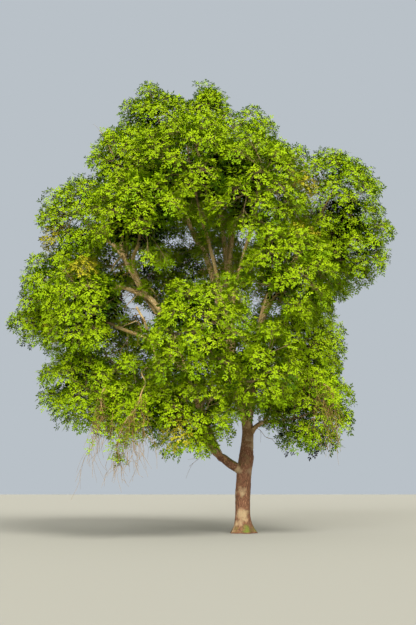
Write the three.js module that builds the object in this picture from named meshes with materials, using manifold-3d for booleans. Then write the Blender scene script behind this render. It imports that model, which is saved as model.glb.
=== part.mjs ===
// A mature, round-headed ash tree with its trunk, its boughs and its masses of foliage, in millimetres.
// +Z is up, +X is to the right of the tree's best face and -Y is towards the viewer of that face.
// The origin is the middle of the flat cut at ground level.

import * as THREE from "three";
import { mergeVertices } from "three/addons/utils/BufferGeometryUtils.js";
import Module from "manifold-3d";

const wasm = await Module();
wasm.setup();

// Trunk
const TRUNK_FORK = new THREE.Vector3(120, 0, 2300);
const TRUNK_LEAN = 30;
const TRUNK_RADIUS = 225;
const FORK_RADIUS = 235;
const FLARE_RADIUS = 400;
const FLARE_HEIGHT = 650;
const FLARE_LOBES = 5;
const LOBE_DEPTH = 0.16;
const TRUNK_SIDES = 15;
const TRUNK_STEPS = 8;

// Boughs
const TIP_RADIUS = 52;
const BOUGH_TAPER = 0.75;
const COLLAR = { wider: 0.3, stretch: 0.06 };
const ENTRY = 0.62;
const RISE = 0.35;
const WANDER = 0.035;
const STEP_LENGTH = 1200;
const LEAST_STEPS = 3;
const BOUGH_SIDES = [{ over: 150, sides: 8 }, { over: 90, sides: 6 }, { over: 0, sides: 5 }];
const OLD_BARK_FOOT = 100;

// Gaps between one piece and the next
const SEAT_GAP = 0.4;
const LEAF_CLEARANCE = 12;
const SPACE_MARGIN = 12;

// Stem and twigs of a mass. Those with no unit are shares of the mass's reach or of a length.
const STEM_RADIUS = 52;
const STEM_TOP_RADIUS = 38;
const STEM_TOP = 0.3;
const STEM_AXIS = { outward: 0.5, up: 0.45, entering: 0.35 };
const CROWN_HEART = new THREE.Vector3(-1100, 0, 6500);
const TWIGS = 5;
const TWIG_RADIUS = 19;
const TWIG_END_RADIUS = 13;
const TWIG_SPREAD = 0.42;
const SPREAD_RANGE = [0.9, 1.12];
const LEAST_SPREAD = 0.2;
const STEM_STRETCH = [0.25, 0.97];
const TWIG_LEAN = [-0.62, 0.97];
const TWIG_DROOP = 0.05;
const GOLDEN_ANGLE = Math.PI * (3 - Math.sqrt(5));

// Leaf sprays, each a kite: lengths are shares of the reach, and the rest are shares of the length.
const END_SPRAY = { at: 0.97, size: 0.64, onward: 0.9, scatter: 0.35, up: -0.3 };
const SIDE_SPRAYS = [
  { at: 0.5, size: 0.78, sideways: 1, onward: 0.55, up: -0.25 },
  { at: 0.76, size: 0.78, sideways: -1, onward: 0.55, up: -0.25 },
];
const SPRAY_FACING = { outward: 0.6, up: 0.3, scatter: 0.6 };
const SPRAY_RANGE = [0.88, 1.1];
const SPRAY_WIDTH = 0.9;
const SPRAY_THICKNESS = 0.02;
const SPRAY_WIDEST = 0.6;
const SPRAY_FOLD = 0.07;
const SHRINK = 0.86;
const SPRAY_TRIES = 5;
const SPRAY_TURN = 0.8;

// Tiny edges that a join leaves are closed up to this length.
const SMOOTHING = 1;

// Each bough, with the bough or trunk it leaves and the share of that one's length where it does so,
// the radius of its foot, and the centre and the reach of the mass of foliage that it carries.
const BOUGHS = [
  {
    place: "crest_right", limb: "main_stem", from: "trunk", at: 1, foot: 215,
    centre: [-1080, -300, 14120], reach: 930,
    through: [[170, 0, 3300], [-50, 0, 4150], [-280, 0, 5200], [-350, -100, 6900], [-600, -200, 9700]],
  },
  {
    place: "upper_left", limb: "left_fork", from: "trunk", at: 0.82, foot: 160,
    centre: [-3660, -800, 11750], reach: 1600,
    through: [
      [-560, -250, 2250], [-930, -500, 2800], [-2400, -900, 6500], [-3250, -950, 7650], [-3850, -900, 9000],
    ],
  },
  {
    place: "crest_left", from: "main_stem", at: 0.42, foot: 115,
    centre: [-2780, 300, 13600], reach: 1650,
    through: [[-1060, -350, 8500], [-1600, -300, 9600]],
  },
  {
    place: "upper_right", from: "main_stem", at: 0.5, foot: 95,
    centre: [50, -500, 12380], reach: 1630,
  },
  {
    place: "upper_front", from: "main_stem", at: 0.56, foot: 80,
    centre: [-1650, -2800, 11000], reach: 1950,
  },
  {
    place: "front_centre", from: "main_stem", at: 0.45, foot: 85,
    centre: [350, -2800, 10300], reach: 1900,
  },
  {
    place: "upper_back_right", from: "main_stem", at: 0.53, foot: 85,
    centre: [-300, 2300, 12000], reach: 2050,
  },
  {
    place: "upper_back_left", from: "bough_crest_left", at: 0.3, foot: 75,
    centre: [-2750, 2400, 11900], reach: 2000,
  },
  {
    place: "right_dome", from: "main_stem", at: 0.24, foot: 125,
    centre: [3020, -500, 10910], reach: 1820,
    through: [[720, -700, 7050], [1350, -700, 8000]],
  },
  {
    place: "right_edge", from: "bough_right_dome", at: 0.55, foot: 70,
    centre: [3560, 100, 9300], reach: 1680,
  },
  {
    place: "back_right", from: "bough_right_dome", at: 0.32, foot: 85,
    centre: [2200, 2700, 9050], reach: 2150,
  },
  {
    place: "front_right", from: "bough_right_dome", at: 0.26, foot: 80,
    centre: [1350, -3000, 7700], reach: 1770,
  },
  {
    place: "back_centre", from: "main_stem", at: 0.33, foot: 95,
    centre: [-1250, 3800, 8900], reach: 2100,
  },
  {
    place: "left_shoulder", from: "left_fork", at: 0.78, foot: 75,
    centre: [-5200, -300, 10060], reach: 1660,
  },
  {
    place: "front_left", from: "left_fork", at: 0.66, foot: 75,
    centre: [-3200, -3200, 9300], reach: 1770,
  },
  {
    place: "left_far", from: "left_fork", at: 0.6, foot: 80,
    centre: [-5900, 200, 7980], reach: 1630,
  },
  {
    place: "left_tip", from: "bough_left_far", at: 0.5, foot: 50,
    centre: [-6750, 500, 6850], reach: 1000,
  },
  {
    place: "back_left", from: "left_fork", at: 0.48, foot: 95,
    centre: [-4100, 2850, 8900], reach: 2150,
  },
  {
    place: "middle_left", from: "left_fork", at: 0.42, foot: 80,
    centre: [-4700, -2700, 6700], reach: 1770,
  },
  {
    place: "middle_front", from: "main_stem", at: 0.17, foot: 85,
    centre: [-1450, -4000, 5900], reach: 1770,
  },
  {
    place: "middle_right", from: "main_stem", at: 0.2, foot: 85,
    centre: [1850, -750, 6020], reach: 1570,
  },
  {
    place: "low_right", from: "main_stem", at: 0.12, foot: 75,
    centre: [2050, -800, 3800], reach: 1700,
  },
  {
    place: "low_front_right", from: "main_stem", at: 0.14, foot: 65,
    centre: [350, -3100, 4900], reach: 1470,
  },
  {
    place: "low_front", from: "left_fork", at: 0.16, foot: 75,
    centre: [-1600, -3000, 3500], reach: 1520,
  },
  {
    place: "low_left", from: "left_fork", at: 0.27, foot: 85,
    centre: [-4850, -1500, 4500], reach: 1670,
  },
  {
    place: "low_left_hanging", from: "bough_low_left", at: 0.5, foot: 50,
    centre: [-3100, -2700, 3750], reach: 1300,
  },
  {
    place: "low_back_left", from: "left_fork", at: 0.32, foot: 85,
    centre: [-4400, 2400, 5750], reach: 2100,
  },
  {
    place: "low_back", from: "main_stem", at: 0.16, foot: 85,
    centre: [-1400, 3700, 5450], reach: 2100,
  },
  {
    place: "low_back_right", from: "main_stem", at: 0.13, foot: 85,
    centre: [1650, 2250, 5450], reach: 2100,
  },
];

// Bare spaces in the crown, where limbs or sky show through it. No twig ends and no spray lies
// within the radius of the line from start, outside the crown, to end, which is deep in it or beyond.
const HOLLOWS = [
  { start: [-3400, -6000, 7300], end: [-3900, -600, 8700], radius: 700 },
  { start: [-2700, -6000, 6450], end: [-3100, -400, 7650], radius: 640 },
  { start: [-3300, -6000, 5700], end: [-3800, -800, 6650], radius: 500 },
  { start: [-1950, -6000, 7900], end: [-2200, 500, 9700], radius: 510 },
  { start: [-1500, -6000, 7200], end: [-1600, 500, 8800], radius: 510 },
  { start: [-450, -6000, 7800], end: [-300, 300, 9500], radius: 330 },
  { start: [-3600, -6000, 4950], end: [-4150, -1000, 5700], radius: 340 },
  { start: [600, -6000, 6250], end: [1000, -400, 7400], radius: 330 },
  { start: [-2600, -6000, 5750], end: [-3500, 7000, 8100], radius: 260 },
  { start: [-3150, -6000, 6350], end: [-4350, 7000, 9100], radius: 270 },
  { start: [-1500, -6000, 7750], end: [-1750, 7000, 11250], radius: 240 },
  { start: [-350, -6000, 4900], end: [50, 7000, 6750], radius: 200 },
  { start: [650, -6000, 5950], end: [1700, 7000, 8450], radius: 250 },
  { start: [200, -6000, 6400], end: [1000, 7000, 9150], radius: 220 },
  { start: [-1730, -3000, 13300], end: [-1860, 2000, 15550], radius: 300 },
];

// Colours and finishes
const BARK = new THREE.MeshStandardMaterial({ color: 0x6f5a45, roughness: 0.95, metalness: 0 });
const YOUNG_BARK = new THREE.MeshStandardMaterial({ color: 0x9c8763, roughness: 0.9, metalness: 0 });
const FOLIAGE = new THREE.MeshStandardMaterial({ color: 0x86a81c, roughness: 0.6, metalness: 0 });

const UP = new THREE.Vector3(0, 0, 1);

// Seeds of the random numbers: bough, twig and spray number i adds i to its own
const BOUGH_SEED = 1000;
const TWIG_SEED = 2200;
const SPRAY_SEED = 3200;

// Seeded random numbers from 0 to 1, the same in every run
function seeded(seed) {
  let state = seed >>> 0;
  return () => {
    state = (state + 0x6d2b79f5) >>> 0;
    let mixed = Math.imul(state ^ (state >>> 15), 1 | state);
    mixed = (mixed + Math.imul(mixed ^ (mixed >>> 7), 61 | mixed)) ^ mixed;
    return ((mixed ^ (mixed >>> 14)) >>> 0) / 4294967296;
  };
}

const between = (random, low, high) => low + (high - low) * random();
const scatter = (random) =>
  new THREE.Vector3(between(random, -1, 1), between(random, -1, 1), between(random, -1, 1));
const mix = (...pairs) =>
  pairs.reduce((sum, [vector, share]) => sum.addScaledVector(vector, share), new THREE.Vector3());
const towards = (...pairs) => mix(...pairs).normalize();

// A solid from a closed three.js geometry, and back
function solidOf(geometry) {
  geometry.deleteAttribute("normal");
  geometry.deleteAttribute("uv");
  const merged = mergeVertices(geometry, 1e-3);
  const mesh = new wasm.Mesh({
    numProp: 3,
    vertProperties: merged.attributes.position.array,
    triVerts: new Uint32Array(merged.index.array),
  });
  return new wasm.Manifold(mesh);
}

function geometryOf(solid) {
  const mesh = solid.getMesh();
  const geometry = new THREE.BufferGeometry();
  geometry.setAttribute("position", new THREE.BufferAttribute(mesh.vertProperties, 3));
  geometry.setIndex(new THREE.BufferAttribute(mesh.triVerts, 1));
  geometry.computeVertexNormals();
  return geometry;
}

// The outer skin of the largest body, without loose scraps or sealed hollows
function largestBody(solid) {
  return solid.decompose().reduce((best, body) => (body.volume() > best.volume() ? body : best));
}

// A closed cylinder bent along a curve, with a radius for each share of its length and angle round it.
// The first ring faces along facing, so that it can sit square on the end of another limb.
function bentTube(curve, radiusAt, sides, steps, facing) {
  const rings = [];
  let across = null;
  for (let i = 0; i <= steps; i++) {
    const along = i === 0 && facing ? facing.clone() : curve.getTangent(i / steps);
    const start = across ?? new THREE.Vector3(1, 0, 0);
    across = start.clone().addScaledVector(along, -start.dot(along)).normalize();
    rings.push({ middle: curve.getPoint(i / steps), across, beside: along.clone().cross(across) });
  }
  const geometry = new THREE.CylinderGeometry(1, 1, 1, sides, steps);
  const position = geometry.attributes.position;
  for (let i = 0; i < position.count; i++) {
    const share = 0.5 + position.getY(i);
    const { middle, across: u, beside: v } = rings[Math.round(share * steps)];
    const angle = Math.atan2(position.getX(i), position.getZ(i));
    const radius = Math.hypot(position.getX(i), position.getZ(i)) * radiusAt(share, angle);
    const point = mix([middle, 1], [u, radius * Math.cos(angle)], [v, radius * Math.sin(angle)]);
    position.setXYZ(i, point.x, point.y, point.z);
  }
  return geometry;
}

// Trunk: leaning a little, with lobed root flare, from the flat cut to the fork
const trunkCurve = new THREE.CubicBezierCurve3(
  new THREE.Vector3(0, 0, 0),
  new THREE.Vector3(0, 0, TRUNK_FORK.z / 3),
  new THREE.Vector3(-TRUNK_LEAN, 0, (TRUNK_FORK.z * 2) / 3),
  TRUNK_FORK,
);

function trunkRadius(share, angle) {
  const flare = Math.max(0, 1 - (share * TRUNK_FORK.z) / FLARE_HEIGHT) ** 2;
  const lobes = 1 + LOBE_DEPTH * flare * Math.cos(FLARE_LOBES * angle);
  const plain = THREE.MathUtils.lerp(TRUNK_RADIUS, FORK_RADIUS, share);
  return (plain + (FLARE_RADIUS - TRUNK_RADIUS) * flare) * lobes;
}

function growTrunk(extra) {
  const radiusAt = (share, angle) => trunkRadius(share, angle) + extra;
  return solidOf(bentTube(trunkCurve, radiusAt, TRUNK_SIDES, TRUNK_STEPS));
}

const limbs = new Map();
limbs.set("trunk", {
  name: "trunk",
  curve: trunkCurve,
  solid: growTrunk(0),
  cutter: growTrunk(SEAT_GAP),
  clear: growTrunk(LEAF_CLEARANCE),
  material: BARK,
});

// Boughs: each leaves its parent at a narrow angle, bends outwards and ends where it enters its mass.
// A bough that goes on from the end of its parent starts square to it, a seat gap away.
function boughCurve(bough, parent, random) {
  const centre = new THREE.Vector3(...bough.centre);
  const foot = parent.curve.getPoint(bough.at);
  const leaving = parent.curve.getTangent(bough.at);
  if (bough.at === 1) foot.addScaledVector(leaving, SEAT_GAP);
  const through = (bough.through ?? []).map((point) => new THREE.Vector3(...point));
  const last = through.at(-1) ?? foot;
  const tip = centre.clone().addScaledVector(last.clone().sub(centre).normalize(), bough.reach * ENTRY);
  if (!through.length) {
    const length = tip.distanceTo(foot);
    const heading = towards([leaving, RISE], [tip.clone().sub(foot).normalize(), 1 - RISE]);
    const bend = foot.clone().addScaledVector(heading, length / 2);
    through.push(bend.addScaledVector(scatter(random), WANDER * length));
  }
  return new THREE.CatmullRomCurve3([foot, ...through, tip], false, "catmullrom");
}

function boughSolid(bough, curve, extra) {
  const steps = Math.max(LEAST_STEPS, Math.round(curve.getLength() / STEP_LENGTH));
  const sides = BOUGH_SIDES.find(({ over }) => bough.foot > over).sides;
  const collar = (share) => (bough.at === 1 ? 0 : COLLAR.wider * Math.max(0, 1 - share / COLLAR.stretch));
  const radiusAt = (share) =>
    THREE.MathUtils.lerp(bough.foot, TIP_RADIUS, share ** BOUGH_TAPER) * (1 + collar(share)) + extra;
  const facing = bough.at === 1 ? curve.getTangent(0) : null;
  return solidOf(bentTube(curve, radiusAt, sides, steps, facing));
}

const boughs = BOUGHS.map((bough, index) => {
  const parent = limbs.get(bough.from);
  const random = seeded(BOUGH_SEED + index);
  const curve = boughCurve(bough, parent, random);
  let solid = boughSolid(bough, curve, 0);
  for (const other of limbs.values()) {
    if (other.cutter.intersect(solid).volume() > 0) solid = solid.subtract(other.cutter);
  }
  const name = bough.limb ?? `bough_${bough.place}`;
  const limb = { ...bough, name, curve, solid: largestBody(solid) };
  limb.cutter = boughSolid(bough, curve, SEAT_GAP);
  limb.clear = boughSolid(bough, curve, LEAF_CLEARANCE);
  limb.material = bough.foot > OLD_BARK_FOOT ? BARK : YOUNG_BARK;
  limb.centre = new THREE.Vector3(...bough.centre);
  limbs.set(name, limb);
  return limb;
});

const hollows = HOLLOWS.map(({ start, end, radius }) => ({
  line: new THREE.Line3(new THREE.Vector3(...start), new THREE.Vector3(...end)),
  radius,
}));

function inHollow(point) {
  const nearest = new THREE.Vector3();
  return hollows.some(
    ({ line, radius }) => line.closestPointToPoint(point, true, nearest).distanceTo(point) < radius,
  );
}

// The space of a mass: its own ball, less the hollows, cut where its neighbours' balls are nearer
function inSpace(limb, point) {
  const inside = limb.reach ** 2 - point.distanceToSquared(limb.centre);
  if (inside < 0 || inHollow(point)) return false;
  return boughs.every((other) => {
    if (other === limb) return true;
    const spacing = 2 * other.centre.distanceTo(limb.centre);
    const theirs = other.reach ** 2 - point.distanceToSquared(other.centre);
    return (inside - theirs) / spacing > SPACE_MARGIN;
  });
}

const touchesLimb = (solid) =>
  [...limbs.values()].some((limb) => !limb.clear.intersect(solid).isEmpty());

// A leaf spray: an eight-faced kite blade, lower at its sides and its tip than along its midrib
function spraySolid(root, along, facing, length) {
  const across = facing.clone().cross(along).normalize();
  const normal = along.clone().cross(across);
  const geometry = new THREE.OctahedronGeometry(length, 0);
  const position = geometry.attributes.position;
  const corners = [];
  for (let i = 0; i < position.count; i++) {
    const x = position.getX(i) / length;
    const share = Math.abs(x) < 0.5 ? SPRAY_WIDEST : (x + 1) / 2;
    const sideways = (position.getY(i) * SPRAY_WIDTH) / 2;
    const lowered = (Math.abs(position.getY(i)) + Math.max(0, position.getX(i))) * SPRAY_FOLD;
    const raised = (position.getZ(i) * SPRAY_THICKNESS) / 2 - lowered;
    const corner = mix([root, 1], [along, share * length], [across, sideways], [normal, raised]);
    position.setXYZ(i, corner.x, corner.y, corner.z);
    corners.push(corner);
  }
  return { solid: solidOf(geometry), corners };
}

// The stem of a mass goes on from its bough's tip and bends outwards and up.
function massStem(limb) {
  const entering = limb.curve.getTangent(1);
  const outward = limb.centre.clone().sub(CROWN_HEART).normalize();
  const axis = towards([outward, STEM_AXIS.outward], [UP, STEM_AXIS.up], [entering, STEM_AXIS.entering]);
  const foot = limb.curve.getPoint(1).addScaledVector(entering, SEAT_GAP);
  const top = limb.centre.clone().addScaledVector(axis, STEM_TOP * limb.reach);
  const elbow = foot.clone().addScaledVector(entering, foot.distanceTo(top) / 2);
  return { axis, entering, curve: new THREE.QuadraticBezierCurve3(foot, elbow, top) };
}

// Its twigs leave the stem in turn by the golden angle, the lowest ones leaning back and down.
function massTwigs(limb, stem, random) {
  const side = new THREE.Vector3().crossVectors(UP, stem.axis).normalize();
  const beside = stem.axis.clone().cross(side);
  const turned = between(random, 0, 2 * Math.PI);
  return Array.from({ length: TWIGS }, (_, i) => {
    const rank = (i + 0.5) / TWIGS;
    const turn = turned + i * GOLDEN_ANGLE;
    const lean = THREE.MathUtils.lerp(...TWIG_LEAN, rank);
    const width = Math.sqrt(1 - lean ** 2);
    const bearing = mix([stem.axis, lean], [side, width * Math.cos(turn)], [beside, width * Math.sin(turn)]);
    const start = stem.curve.getPoint(THREE.MathUtils.lerp(...STEM_STRETCH, rank));
    const endAt = (spread) =>
      mix([limb.centre, 1], [bearing, spread * limb.reach], [UP, -TWIG_DROOP * limb.reach]);
    let spread = TWIG_SPREAD * between(random, ...SPREAD_RANGE);
    while (!inSpace(limb, endAt(spread)) && spread > LEAST_SPREAD) spread *= SHRINK;
    return { bearing, curve: new THREE.LineCurve3(start, endAt(spread)) };
  });
}

// A spray is tried turned and shorter until it keeps to the space, clear of limbs and other sprays.
function fitSpray(limb, curve, at, direction, facing, size, sprays, random) {
  let length = size * limb.reach * between(random, ...SPRAY_RANGE);
  let turned = facing;
  for (let attempt = 0; attempt < SPRAY_TRIES; attempt++) {
    const { solid, corners } = spraySolid(curve.getPoint(at), direction, turned, length);
    const middle = curve.getPoint(at).addScaledVector(direction, length / 2);
    const kept = [...corners, middle].every((point) => inSpace(limb, point));
    const free = sprays.every((other) => other.intersect(solid).isEmpty());
    if (kept && free && !touchesLimb(solid)) {
      sprays.push(solid);
      return;
    }
    length *= SHRINK;
    turned = towards([facing, 1], [scatter(random), SPRAY_TURN]);
  }
}

function growMass(limb, index) {
  const stem = massStem(limb);
  const stemRadius = (share) => THREE.MathUtils.lerp(STEM_RADIUS, STEM_TOP_RADIUS, share);
  const twigRadius = (share) => THREE.MathUtils.lerp(TWIG_RADIUS, TWIG_END_RADIUS, share);
  const wood = [solidOf(bentTube(stem.curve, stemRadius, 3, 3, stem.entering))];
  const sprays = [];
  const random = seeded(SPRAY_SEED + index);
  const twigs = massTwigs(limb, stem, seeded(TWIG_SEED + index));
  for (const { bearing, curve } of twigs) {
    const solid = solidOf(bentTube(curve, twigRadius, 3, 1));
    if (touchesLimb(solid)) continue;
    wood.push(solid);
    const onward = curve.getTangent(1);
    const facing = towards(
      [bearing, SPRAY_FACING.outward], [UP, SPRAY_FACING.up], [scatter(random), SPRAY_FACING.scatter],
    );
    const sideways = facing.clone().cross(onward).normalize();
    for (const spray of SIDE_SPRAYS) {
      const direction = towards([sideways, spray.sideways], [onward, spray.onward], [UP, spray.up]);
      fitSpray(limb, curve, spray.at, direction, facing, spray.size, sprays, random);
    }
    const direction = towards(
      [onward, END_SPRAY.onward], [scatter(random), END_SPRAY.scatter], [UP, END_SPRAY.up],
    );
    fitSpray(limb, curve, END_SPRAY.at, direction, facing, END_SPRAY.size, sprays, random);
  }
  const topFacing = towards([scatter(random), 1]);
  const topDirection = towards([stem.axis, END_SPRAY.onward], [scatter(random), END_SPRAY.scatter]);
  fitSpray(limb, stem.curve, END_SPRAY.at, topDirection, topFacing, END_SPRAY.size, sprays, random);
  return largestBody(wasm.Manifold.union([...wood, ...sprays])).simplify(SMOOTHING);
}

// The tree
const tree = new THREE.Group();

function addNode(name, solid, material) {
  const mesh = new THREE.Mesh(geometryOf(solid), material);
  mesh.name = name;
  tree.add(mesh);
}

for (const limb of limbs.values()) addNode(limb.name, limb.solid, limb.material);
boughs.forEach((limb, index) => addNode(`leaves_${limb.place}`, growMass(limb, index), FOLIAGE));

export default tree;
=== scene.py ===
# A mature, round-headed ash tree in early-summer leaf, dressed over its solids. Metres, +Z up.
import math

import bmesh
import bpy
import numpy as np
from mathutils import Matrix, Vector, noise


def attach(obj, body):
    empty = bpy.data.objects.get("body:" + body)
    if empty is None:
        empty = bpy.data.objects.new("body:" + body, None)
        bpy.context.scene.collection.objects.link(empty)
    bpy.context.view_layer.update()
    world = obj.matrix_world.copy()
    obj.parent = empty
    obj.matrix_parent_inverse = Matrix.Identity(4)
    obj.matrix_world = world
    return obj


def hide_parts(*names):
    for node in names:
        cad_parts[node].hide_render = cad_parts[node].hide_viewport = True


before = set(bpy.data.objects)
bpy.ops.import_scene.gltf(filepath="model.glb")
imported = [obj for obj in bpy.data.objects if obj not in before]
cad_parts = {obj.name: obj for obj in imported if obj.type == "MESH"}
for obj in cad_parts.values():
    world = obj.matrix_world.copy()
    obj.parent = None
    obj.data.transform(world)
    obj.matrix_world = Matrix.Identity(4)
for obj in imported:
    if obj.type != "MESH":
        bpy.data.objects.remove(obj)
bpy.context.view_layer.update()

scene = bpy.context.scene

# Stem: trunk and leader
# The trunk and the leader that goes on from it are one stem of ash wood under thick furrowed bark.
# The bark is reddish brown and cracked into a net of ridges, and the foot spreads into five low lobes.
TRUNK_FORK = np.array((0.12, 0, 2.3))
TRUNK_LEAN = 0.03
TRUNK_RADIUS = 0.225
FORK_RADIUS = 0.235
FORK_BLEND = 0.5
FLARE_RADIUS = 0.4
FLARE_HEIGHT = 0.65
FLARE_LOBES = 5
LOBE_DEPTH = 0.16
TIP_RADIUS = 0.05
BOUGH_TAPER = 0.75
STEM_MESH = (60, 0.045)
UP = np.array((0.0, 0.0, 1.0))


def seeded(seed):
    """Random numbers from 0 to 1, the same as in the solids' source."""
    mask = 0xFFFFFFFF
    state = seed & mask

    def draw():
        nonlocal state
        state = (state + 0x6D2B79F5) & mask
        mixed = ((state ^ (state >> 15)) * (1 | state)) & mask
        mixed = ((mixed + (((mixed ^ (mixed >> 7)) * (61 | mixed)) & mask)) & mask) ^ mixed
        return (mixed ^ (mixed >> 14)) / 2**32

    return draw


def unit(vector):
    return vector / np.linalg.norm(vector, axis=-1, keepdims=True)


def bezier(*corners):
    """A point on a Bezier curve of two, three or four corners, for each share of its length."""
    last = len(corners) - 1

    def point(share):
        share = np.asarray(share, float)[..., None]
        weights = (math.comb(last, i) * share**i * (1 - share) ** (last - i) for i in range(last + 1))
        return sum(weight * corner for weight, corner in zip(weights, corners))

    return point


def catmull_rom(corners):
    """A point on a Catmull-Rom curve through the corners, for one share of its length."""
    corners = np.array(corners, float)
    ends = [2 * corners[0] - corners[1], *corners, 2 * corners[-1] - corners[-2]]

    def point(share):
        place = min(max(share, 0), 1) * (len(corners) - 1)
        i = min(int(place), len(corners) - 2)
        t = place - i
        before, start, stop, after = ends[i : i + 4]
        leave, arrive = (stop - before) / 2, (after - start) / 2
        return (
            start + leave * t + (3 * (stop - start) - 2 * leave - arrive) * t**2
            + (2 * (start - stop) + leave + arrive) * t**3
        )

    return point


def heading(curve, share, step=1e-4):
    """The way that a curve runs at a share of its length."""
    return unit(curve(min(share + step, 1)) - curve(max(share - step, 0)))


def length_of(curve, steps=60):
    points = np.array([curve(i / steps) for i in range(steps + 1)])
    return float(np.linalg.norm(np.diff(points, axis=0), axis=1).sum())


def new_object(name, data):
    thing = bpy.data.objects.new(name, data)
    scene.collection.objects.link(thing)
    return thing


def mesh_object(name, bm):
    mesh = bpy.data.meshes.new(name)
    bm.to_mesh(mesh)
    bm.free()
    return new_object(name, mesh)


LEAST_RINGS = 6
MERGE_DISTANCE = 1e-5


def bark_tube(name, curve, radius_at, sides, ring_spacing):
    """A closed tube along a curve, its bark raised and furrowed, with each point's place on the limb."""
    length = length_of(curve)
    rings = max(LEAST_RINGS, round(length / ring_spacing))
    stations = []
    across = np.array((1.0, 0, 0))
    for i in range(rings + 1):
        along = heading(curve, i / rings)
        across = unit(across - along * across.dot(along))
        stations.append((curve(i / rings), across, np.cross(along, across)))
    bm = bmesh.new()
    bmesh.ops.create_grid(bm, x_segments=sides, y_segments=rings, size=0.5)
    place_layer = bm.verts.layers.float_vector.new("limb_place")
    for vertex in bm.verts:
        angle = (vertex.co.x + 0.5) * 2 * math.pi
        ring = round((vertex.co.y + 0.5) * rings)
        middle, u, v = stations[ring]
        share = ring / rings
        plain = radius_at(share, angle)
        place = Vector((plain * math.cos(angle), plain * math.sin(angle), share * length))
        radius = plain + bark_relief(place, plain)
        vertex.co = middle + radius * (math.cos(angle) * u + math.sin(angle) * v)
        vertex[place_layer] = place
    bmesh.ops.remove_doubles(bm, verts=bm.verts, dist=MERGE_DISTANCE)
    ends = [edge for edge in bm.edges if edge.is_boundary]
    bmesh.ops.holes_fill(bm, edges=ends, sides=0)
    bmesh.ops.recalc_face_normals(bm, faces=bm.faces)
    for face in bm.faces:
        face.smooth = len(face.verts) == 4
    return mesh_object(name, bm)


RIDGE_WIDTH = 0.055
RIDGE_LENGTH = 0.3
RIDGE_DEPTH = 0.016
PLAIN_LEVEL = 0.6
CRACK_WANDER = 0.05
WANDER_LENGTH = 0.22
BURR_SIZE = 0.5
BURR_DEPTH = 0.02


def bark_relief(place, radius):
    """Long ridges that meet and part, on a slow swelling, both shallower on thin wood."""
    thick = min(1, radius / TRUNK_RADIUS)
    wander = noise.noise(place / WANDER_LENGTH) * CRACK_WANDER
    net = Vector((place.x + wander, place.y - wander, place.z * RIDGE_WIDTH / RIDGE_LENGTH)) / RIDGE_WIDTH
    ridge = 1 - 2 * abs(noise.noise(net))
    swelling = noise.noise(place / BURR_SIZE)
    return thick * (RIDGE_DEPTH * (ridge - PLAIN_LEVEL) + BURR_DEPTH * swelling)


def linear(code):
    """An sRGB hex colour as linear red, green, blue and alpha."""
    parts = [int(code[i : i + 2], 16) / 255 for i in (1, 3, 5)]
    return tuple(c / 12.92 if c <= 0.04045 else ((c + 0.055) / 1.055) ** 2.4 for c in parts) + (1,)


def add_node(tree, kind, settings=None, links=None):
    """A node with its settings, by property or socket, and the sockets that feed it."""
    node = tree.nodes.new("ShaderNode" + kind)
    for key, value in (settings or {}).items():
        if isinstance(key, int) or key in node.inputs:
            node.inputs[key].default_value = value
        else:
            setattr(node, key, value)
    for key, source in (links or {}).items():
        tree.links.new(source, node.inputs[key])
    return node


# Ash bark, fissured: corky ridges 50 to 60 mm apart with dark cracks between, matt all over. It is
# reddish brown and damp low down, weathers to a tan higher up that is made paler still as painted
# sunlight, and greens with algae in patches. Pale lichen lies in patches too, and moss grows along the
# upper side of limbs that lean.
WEATHERING_AND_PAINTED_SUN = (2.5, 5.5, 1)
LICHEN = "#cdbb92"
LICHEN_PATCHES = (0.48, 0.36, 0.45)
FILM_PATCHES = (0.58, 0.74, 0.5)
MOSS = "#5f7326"
MOSS_PATCHES = (0.42, 0.56, 0.9)
MOSS_FACING = (0.25, 0.6, 1)
LOW_STOPS = (0.14, 0.26, 0.42, 0.62)
HIGH_STOPS = (0.12, 0.24, 0.42, 0.62)


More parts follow.
